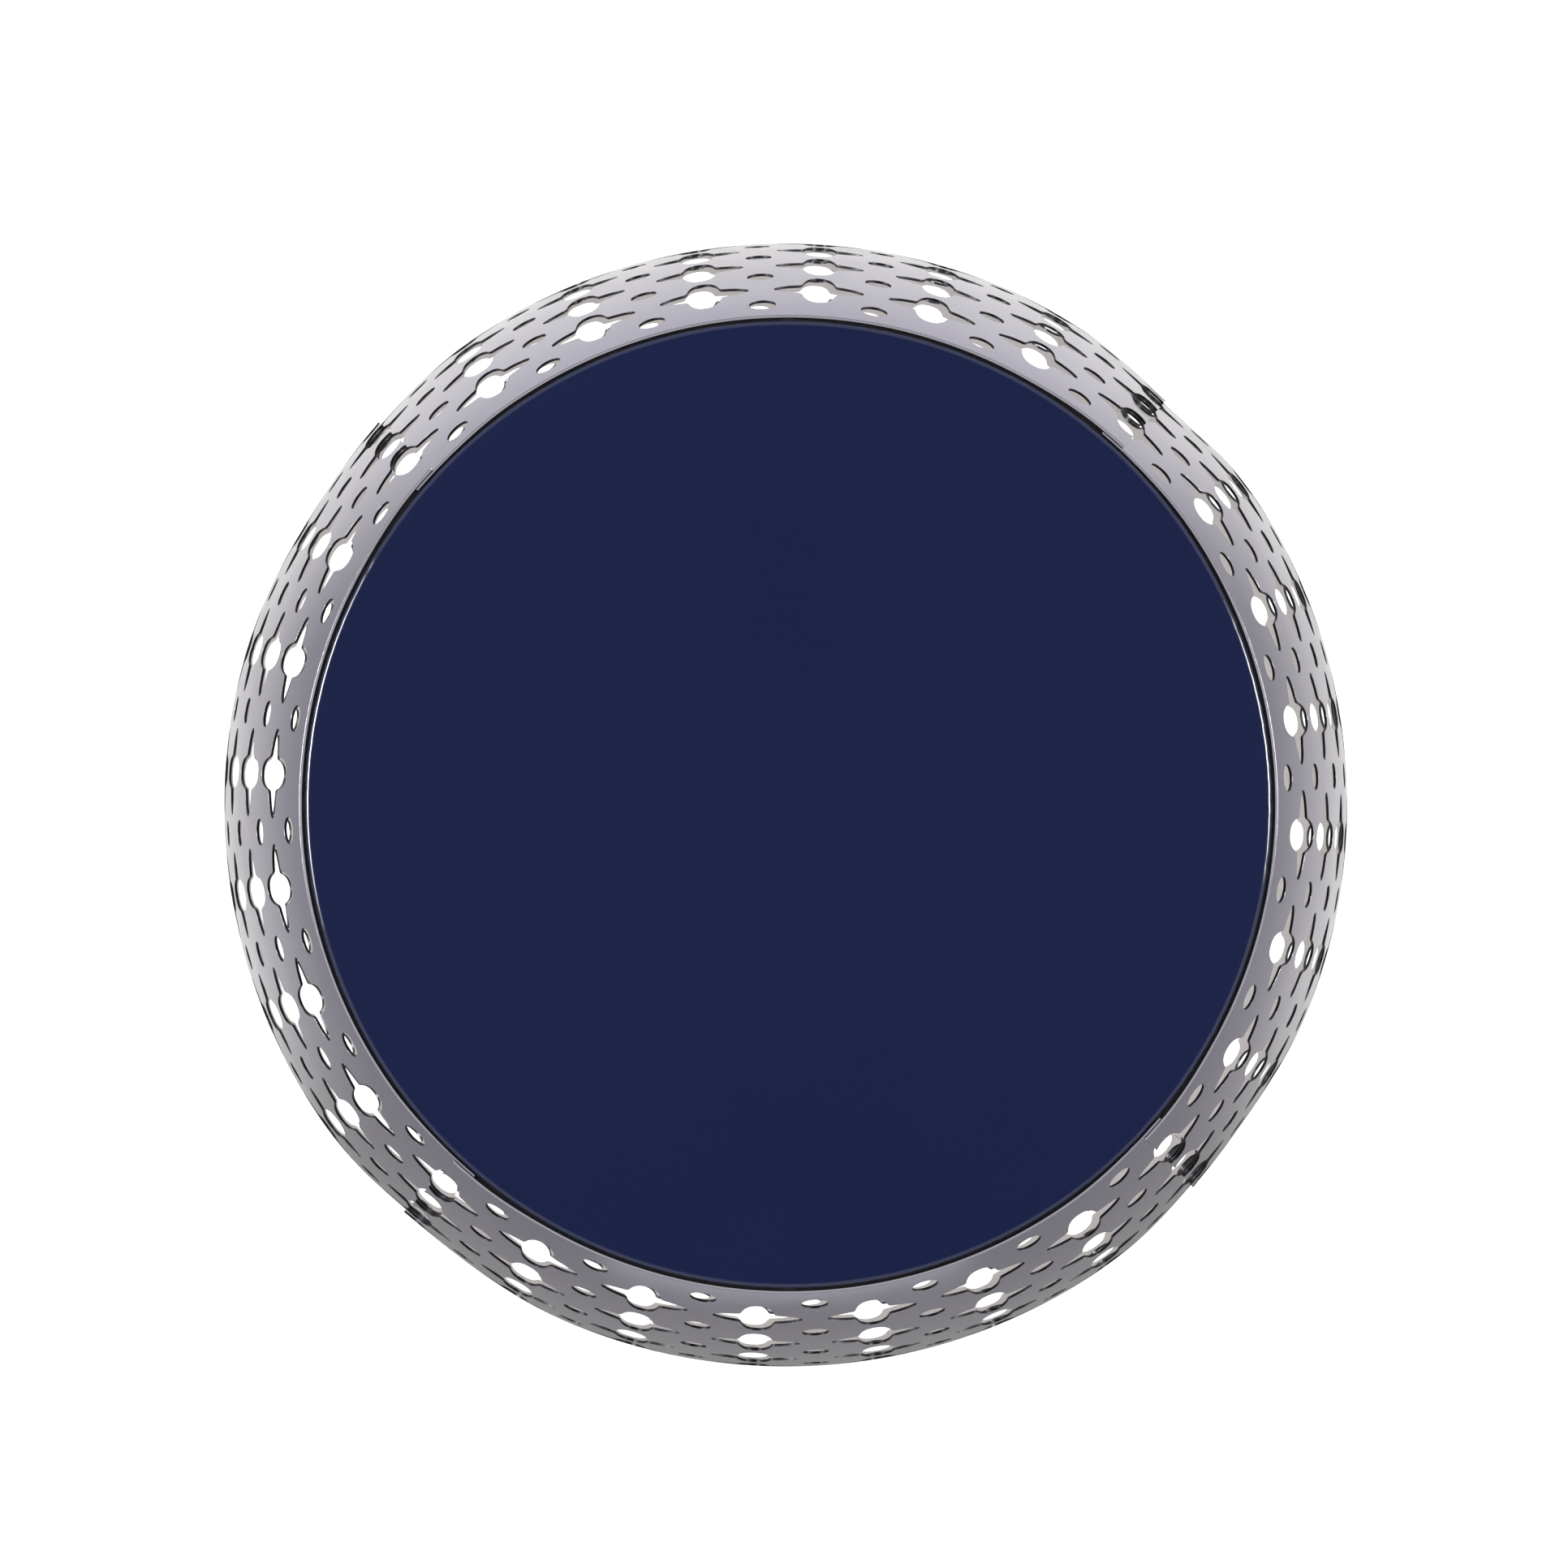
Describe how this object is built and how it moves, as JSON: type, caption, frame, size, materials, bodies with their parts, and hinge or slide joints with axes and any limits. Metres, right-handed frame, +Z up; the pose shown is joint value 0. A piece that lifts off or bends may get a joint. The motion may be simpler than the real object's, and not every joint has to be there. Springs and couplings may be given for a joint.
{
  "type": "drum side table",
  "caption": "Barrel-shaped drum side table of pierced sheet-metal panels, open inside, with a lift-off enamelled disc top.",
  "frame": {"origin": "on the floor, at the centre of the base", "axes": "+Z up along the barrel's axis; the four seams lie about 2 degrees past the diagonals of +X and +Y"},
  "size_m": [0.5, 0.5, 0.45],
  "materials": {
    "shell_metal": "polished nickel plate on sheet steel, soft and slightly uneven",
    "navy_enamel": "glossy navy enamel",
    "fibreboard": "medium-density fibreboard, black-lacquered",
    "hoop_metal": "steel strip, black powder coat",
    "pad_rubber": "soft black rubber, matt",
    "foot_rubber": "black rubber, matt",
    "zinc_steel": "bright zinc-plated steel"
  },
  "bodies": {
    "stand": {"back_panel": "shell_metal", "left_panel": "shell_metal", "front_panel": "shell_metal", "right_panel": "shell_metal", "ledge_hoop": "hoop_metal", "rest_pads": "pad_rubber", "base_hoop": "hoop_metal", "feet": "foot_rubber", "foot_bolts": "zinc_steel", "foot_nuts": "zinc_steel"},
    "top": {"top_skin": "navy_enamel", "top_core": "fibreboard"}
  },
  "joints": [
    {"name": "top_lift", "type": "slide", "parent": "stand", "child": "top", "axis": [0, 0, 1], "range_m": [0, 0.12]}
  ]
}
